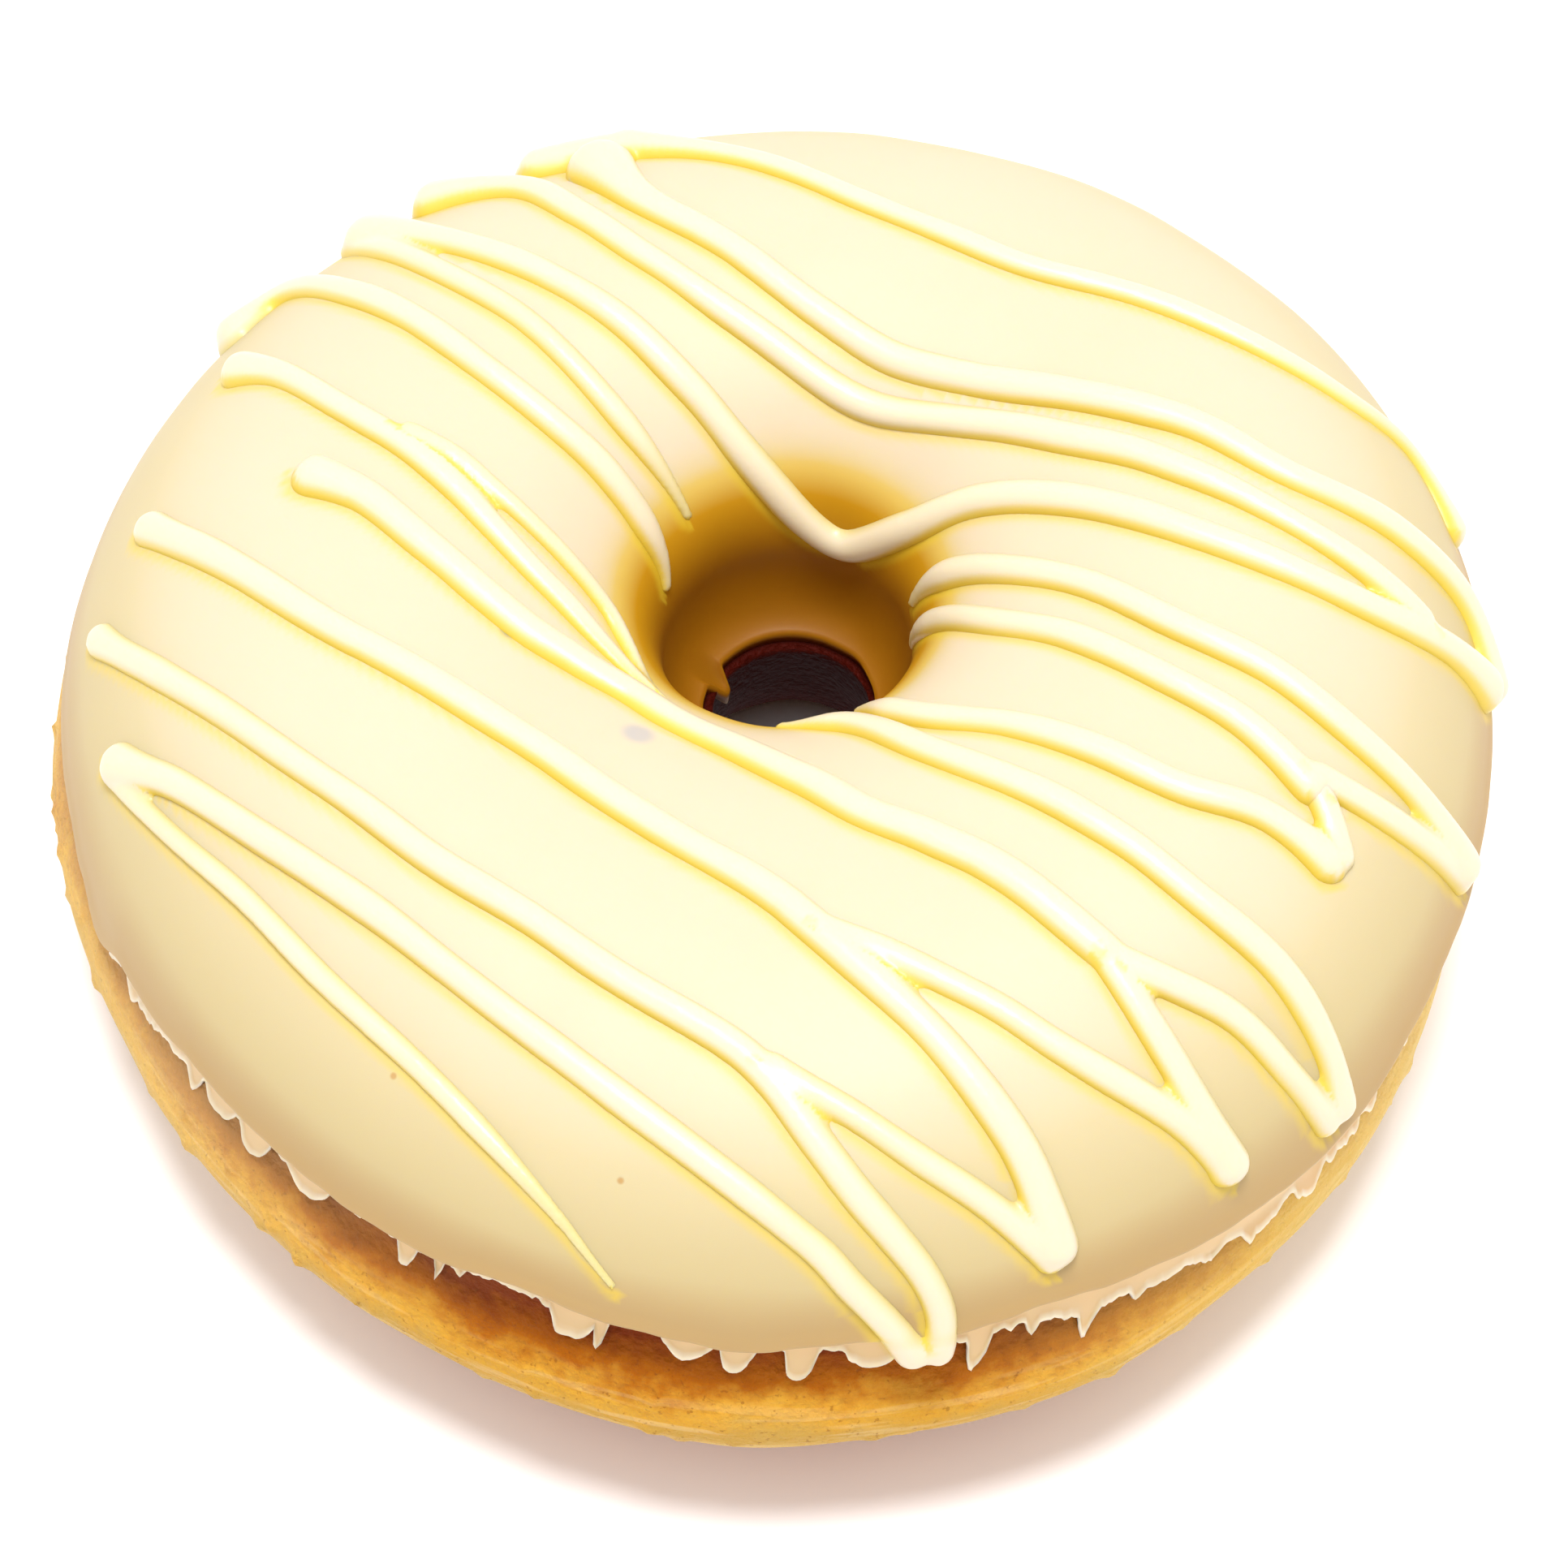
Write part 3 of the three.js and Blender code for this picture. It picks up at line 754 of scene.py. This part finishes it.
def mix_colour(tree, amount, first, second, blend="MIX", place=(0, 0)):
    mix = node(tree, "ShaderNodeMix", place, data_type="RGBA", blend_type=blend)
    for socket, value in ((mix.inputs["Factor"], amount), (mix.inputs["A"], first), (mix.inputs["B"], second)):
        if isinstance(value, bpy.types.NodeSocket):
            tree.links.new(value, socket)
        else:
            socket.default_value = value
    return mix.outputs["Result"]


def maths(tree, operation, first, second=0.0, clamped=False, place=(0, 0)):
    made = node(tree, "ShaderNodeMath", place, operation=operation, use_clamp=clamped)
    for socket, value in zip(made.inputs, (first, second)):
        if isinstance(value, bpy.types.NodeSocket):
            tree.links.new(value, socket)
        else:
            socket.default_value = value
    return made.outputs[0]


# %% Fried dough
dough_finish, tree, shader = new_finish("fried_dough_finish", 0.62, 0.08)
set_subsurface(shader, 0.15, (1.4, 0.6, 0.15))
where = node(tree, "ShaderNodeTexCoord", (-1400, 0))
split = node(tree, "ShaderNodeSeparateXYZ", (-1200, 0))
tree.links.new(where.outputs["Object"], split.inputs[0])
height_mm = maths(tree, "MULTIPLY", split.outputs["Z"], 1000)
broad = place_group(tree, mottling, Patch_size_mm=9.0, Contrast=1.6)
small = place_group(tree, mottling, Patch_size_mm=1.3, Contrast=1.8)
stretch = node(tree, "ShaderNodeMapping", (-1200, 300))
stretch.inputs["Scale"].default_value = (130, 130, 1100)
tree.links.new(where.outputs["Object"], stretch.inputs["Vector"])
streaks = node(tree, "ShaderNodeTexNoise", (-1000, 300))
streaks.inputs["Scale"].default_value = 1.0
streaks.inputs["Detail"].default_value = 3.0
tree.links.new(stretch.outputs[0], streaks.inputs["Vector"])
shift = maths(tree, "MULTIPLY", maths(tree, "SUBTRACT", broad.outputs[0], 0.5), 2.6)
jitter = maths(tree, "MULTIPLY", maths(tree, "SUBTRACT", small.outputs[0], 0.5), 1.6)
lines = maths(tree, "MULTIPLY", maths(tree, "SUBTRACT", streaks.outputs["Fac"], 0.5), 1.2)
level = maths(tree, "ADD", maths(tree, "ADD", maths(tree, "ADD", height_mm, shift), jitter), lines)
level = maths(tree, "DIVIDE", level, 24.0, clamped=True)
# Height bands of the fried dough. The deep orange-brown right under the coat's edge is partly fried colour and partly
# painted shade under the overhang.
fried_bands_and_overhang_shade = colour_ramp(tree, [
    (0.0, srgb(150, 78, 8)), (0.14, srgb(192, 120, 28)), (0.30, srgb(188, 136, 48)), (0.40, srgb(196, 160, 86)),
    (0.50, srgb(192, 150, 66)), (0.58, srgb(204, 150, 48)), (0.66, srgb(164, 90, 4)), (0.76, srgb(116, 44, 1))])
tree.links.new(level, fried_bands_and_overhang_shade.inputs["Fac"])
fold = node(tree, "ShaderNodeMapping", (-1200, 600))
fold.inputs["Scale"].default_value = (110, 110, 1700)
tree.links.new(where.outputs["Object"], fold.inputs["Vector"])
folds = node(tree, "ShaderNodeTexNoise", (-1000, 600))
folds.inputs["Scale"].default_value = 1.0
folds.inputs["Detail"].default_value = 2.0
tree.links.new(fold.outputs[0], folds.inputs["Vector"])
pale_line = node(tree, "ShaderNodeMapRange", (-800, 600), interpolation_type="SMOOTHSTEP")
pale_line.inputs["From Min"].default_value = 0.50
pale_line.inputs["From Max"].default_value = 0.66
tree.links.new(folds.outputs["Fac"], pale_line.inputs["Value"])
belt = node(tree, "ShaderNodeMapRange", (-800, 800), interpolation_type="SMOOTHSTEP")
belt.inputs["From Min"].default_value = 16.0
belt.inputs["From Max"].default_value = 12.5
tree.links.new(height_mm, belt.inputs["Value"])
pale = maths(tree, "MULTIPLY", maths(tree, "MULTIPLY", pale_line.outputs["Result"], belt.outputs["Result"]), 0.3)
colour = mix_colour(tree, pale, fried_bands_and_overhang_shade.outputs["Color"], srgb(226, 200, 150))
specks = node(tree, "ShaderNodeTexNoise", (-1000, 900))
specks.inputs["Scale"].default_value = 2600
tree.links.new(where.outputs["Object"], specks.inputs["Vector"])
speck = node(tree, "ShaderNodeMapRange", (-800, 1000), interpolation_type="SMOOTHSTEP")
speck.inputs["From Min"].default_value = 0.62
speck.inputs["From Max"].default_value = 0.74
tree.links.new(specks.outputs["Fac"], speck.inputs["Value"])
colour = mix_colour(tree, maths(tree, "MULTIPLY", speck.outputs["Result"], 0.5), colour, srgb(120, 62, 14))
# Painted light: the right side of the dough is painted paler and brighter, as if more lit.
lit = node(tree, "ShaderNodeMapRange", (-800, 1400), interpolation_type="SMOOTHSTEP")
lit.inputs["From Min"].default_value = 0.006
lit.inputs["From Max"].default_value = 0.036
tree.links.new(split.outputs["X"], lit.inputs["Value"])
colour = mix_colour(tree, maths(tree, "MULTIPLY", lit.outputs["Result"], 0.5), colour, srgb(230, 196, 106))
# Painted light and shade: all but the front of the dough is painted paler, so the front stays darker, as if in shade.
painted_light_off_front = node(tree, "ShaderNodeMapRange", (-800, 1200), interpolation_type="SMOOTHSTEP")
painted_light_off_front.inputs["From Min"].default_value = -0.044
painted_light_off_front.inputs["From Max"].default_value = -0.02
tree.links.new(split.outputs["Y"], painted_light_off_front.inputs["Value"])
colour = mix_colour(tree, maths(tree, "MULTIPLY", painted_light_off_front.outputs["Result"], 0.36), colour, srgb(226, 200, 138))
# Painted shade: the lower wall of the hole is painted nearly black-brown, as the shade deep in the hole.
painted_hole_shade = node(tree, "ShaderNodeAttribute", (-800, 400), attribute_name="deepness")
colour = mix_colour(tree, painted_hole_shade.outputs["Fac"], colour, srgb(66, 9, 1))
tree.links.new(colour, shader.inputs["Base Color"])
pores = node(tree, "ShaderNodeTexVoronoi", (-600, -300))
pores.inputs["Scale"].default_value = 1400
tree.links.new(where.outputs["Object"], pores.inputs["Vector"])
grain = place_group(tree, mottling, Patch_size_mm=0.45, Contrast=2.4)
relief = maths(tree, "ADD", maths(tree, "MULTIPLY", pores.outputs["Distance"], 0.9), grain.outputs[0])
outside = maths(tree, "SUBTRACT", 0.8, painted_hole_shade.outputs["Fac"], clamped=True)
relief = maths(tree, "ADD", relief, maths(tree, "MULTIPLY", folds.outputs["Fac"], outside))
bump = node(tree, "ShaderNodeBump", (-200, -300))
bump.inputs["Strength"].default_value = 0.7
bump.inputs["Distance"].default_value = 0.22 * MM
tree.links.new(relief, bump.inputs["Height"])
tree.links.new(bump.outputs[0], shader.inputs["Normal"])
dough_ring.data.materials.append(dough_finish)

# %% Pale chocolate of the coat
# Small coloured marks on the coat. The first is painted shade, the dark of a small burst bubble's pit that the skin
# doesn't model; the others are small grey and tan spots.
PIT_SHADE_AND_SPOTS = [((-16.3, -1.1, 31.3), 1.0, srgb(150, 142, 104)), ((-8.5, -9.0, 30.5), 1.4, srgb(181, 173, 166)),
         ((4.6, -10.2, 30.9), 1.1, srgb(181, 173, 166)), ((-10.4, -39.9, 28.2), 0.3, srgb(180, 146, 92)),
         ((-23.8, -32.0, 28.4), 0.3, srgb(184, 150, 96))]
coat_finish, tree, shader = new_finish("pale_chocolate_finish", 0.5, 0.3)
set_subsurface(shader, 0.3, (1.6, 1.0, 0.3))
where = node(tree, "ShaderNodeTexCoord", (-1400, -800))
lowness = node(tree, "ShaderNodeAttribute", (-1200, 200), attribute_name="lowness")
thinness = node(tree, "ShaderNodeAttribute", (-1200, 0), attribute_name="thinness")
deepness = node(tree, "ShaderNodeAttribute", (-1200, -200), attribute_name="deepness")
painted_shade_note = node(tree, "ShaderNodeAttribute", (-1200, -400), attribute_name="painted_shade")
edge_bead = node(tree, "ShaderNodeAttribute", (-1200, -600), attribute_name="bead")
clouds = place_group(tree, mottling, Patch_size_mm=14.0, Contrast=1.2)
colour = mix_colour(tree, clouds.outputs[0], srgb(205, 188, 158), srgb(208, 192, 166))
# Painted shade: down its sides toward the rim the coat is painted darker and tan, as shade on the sides facing away
# from the lamp and above the rim.
side_shade_ramp = colour_ramp(tree, [(0.0, srgb(206, 189, 160)), (0.3, srgb(197, 182, 142)), (0.6, srgb(190, 172, 126)),
                           (1.0, srgb(174, 144, 94))])
tree.links.new(lowness.outputs["Fac"], side_shade_ramp.inputs["Fac"])
colour = mix_colour(tree, maths(tree, "MULTIPLY", lowness.outputs["Fac"], 3.0, clamped=True), colour,
                    side_shade_ramp.outputs["Color"])
colour = mix_colour(tree, thinness.outputs["Fac"], colour, srgb(222, 184, 134))
colour = mix_colour(tree, edge_bead.outputs["Fac"], colour, srgb(236, 218, 190))
# Down the hole the coat turns golden brown: partly thin chocolate over the brown dough, partly painted shade of the
# deep hole.
hole_tint_and_shade = colour_ramp(tree, [(0.0, srgb(207, 188, 128)), (0.16, srgb(208, 176, 84)), (0.36, srgb(190, 138, 10)),
                             (1.0, srgb(150, 96, 4))])
tree.links.new(deepness.outputs["Fac"], hole_tint_and_shade.inputs["Fac"])
colour = mix_colour(tree, maths(tree, "MULTIPLY", deepness.outputs["Fac"], 8.0, clamped=True), colour,
                    hole_tint_and_shade.outputs["Color"])
# Painted shade: deep yellow on the coat beside the lower-left side of each thread.
colour = mix_colour(tree, maths(tree, "MULTIPLY", painted_shade_note.outputs["Fac"], 0.6), colour, srgb(216, 186, 48))
for place, size, tint in PIT_SHADE_AND_SPOTS:
    away = node(tree, "ShaderNodeVectorMath", (-1000, -800), operation="DISTANCE")
    tree.links.new(where.outputs["Object"], away.inputs[0])
    away.inputs[1].default_value = Vector(place) * MM
    spot = node(tree, "ShaderNodeMapRange", (-800, -800), interpolation_type="SMOOTHSTEP")
    spot.inputs["From Min"].default_value = size * MM
    spot.inputs["From Max"].default_value = 0.4 * size * MM
    tree.links.new(away.outputs["Value"], spot.inputs["Value"])
    colour = mix_colour(tree, spot.outputs["Result"], colour, tint)
tree.links.new(colour, shader.inputs["Base Color"])
ripple = place_group(tree, mottling, Patch_size_mm=3.0, Contrast=1.0)
bump = node(tree, "ShaderNodeBump", (-200, -300))
bump.inputs["Strength"].default_value = 0.2
bump.inputs["Distance"].default_value = 0.1 * MM
tree.links.new(ripple.outputs[0], bump.inputs["Height"])
tree.links.new(bump.outputs[0], shader.inputs["Normal"])
icing_coat.data.materials.append(coat_finish)

# %% Pale chocolate of the drizzle
drizzle_finish, tree, shader = new_finish("drizzle_finish", 0.34, 0.45)
set_subsurface(shader, 0.3, (1.4, 1.0, 0.3))
standing = node(tree, "ShaderNodeAttribute", (-1200, 0), attribute_name="standing")
painted_shade_note = node(tree, "ShaderNodeAttribute", (-1200, -200), attribute_name="painted_shade")
# Painted shade: the thread is painted darker and yellower at its foot, in the crease where it meets the coat.
foot_crease_shade = colour_ramp(tree, [(0.0, srgb(206, 188, 118)), (0.15, srgb(211, 195, 144)), (0.35, srgb(217, 204, 176))])
tree.links.new(standing.outputs["Fac"], foot_crease_shade.inputs["Fac"])
# Painted shade: deep yellow on the lower-left flank of each thread.
colour = mix_colour(tree, maths(tree, "MULTIPLY", painted_shade_note.outputs["Fac"], 0.85), foot_crease_shade.outputs["Color"], srgb(220, 190, 48))
tree.links.new(colour, shader.inputs["Base Color"])
for piece in poured.values():
    piece.data.materials.clear()
    piece.data.materials.append(drizzle_finish)

# %% [markdown]
# ## Floor and light
# The doughnut lies on a plain white table. A large soft lamp stands high above it, a little to the
# front and right, and a bright room fills the shades.

# %% Stage
floor_sheet = bmesh.new()
bmesh.ops.create_grid(floor_sheet, x_segments=1, y_segments=1, size=3)
floor_mesh = bpy.data.meshes.new("floor")
floor_sheet.to_mesh(floor_mesh)
floor_sheet.free()
floor = bpy.data.objects.new("floor", floor_mesh)
bpy.context.scene.collection.objects.link(floor)
floor_finish, tree, shader = new_finish("white_table", 0.6, 0.3)
shader.inputs["Base Color"].default_value = srgb(253, 252, 254)
floor.data.materials.append(floor_finish)

world = bpy.data.worlds.new("bright_room")
world.use_nodes = True
world.node_tree.nodes["Background"].inputs["Color"].default_value = (1, 0.99, 1, 1)
world.node_tree.nodes["Background"].inputs["Strength"].default_value = 0.94
bpy.context.scene.world = world


def lamp(name, place, size, power, colour=(1, 1, 1)):
    data = bpy.data.lights.new(name, "AREA")
    data.shape = "DISK"
    data.size = size
    data.energy = power
    data.color = colour
    made = bpy.data.objects.new(name, data)
    bpy.context.scene.collection.objects.link(made)
    aim(made, Vector(place), Vector((0, 0, 0.02)))
    return made


lamp("key_lamp", (0.02, -0.06, 0.93), 0.30, 8.2)
print("lit")

# %% [markdown]
# ## The pieces and the part
# Each piece rides on the one body and stands in for its imported node, which is hidden.

# %% Tie the pieces to the part
for piece, name, slot in ((dough_ring, "dough_ring", "fried_dough"), (icing_coat, "icing_coat", "pale_chocolate"),
                          *((piece, name, "drizzle_chocolate") for name, piece in poured.items())):
    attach(piece, "root")
    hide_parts(name)
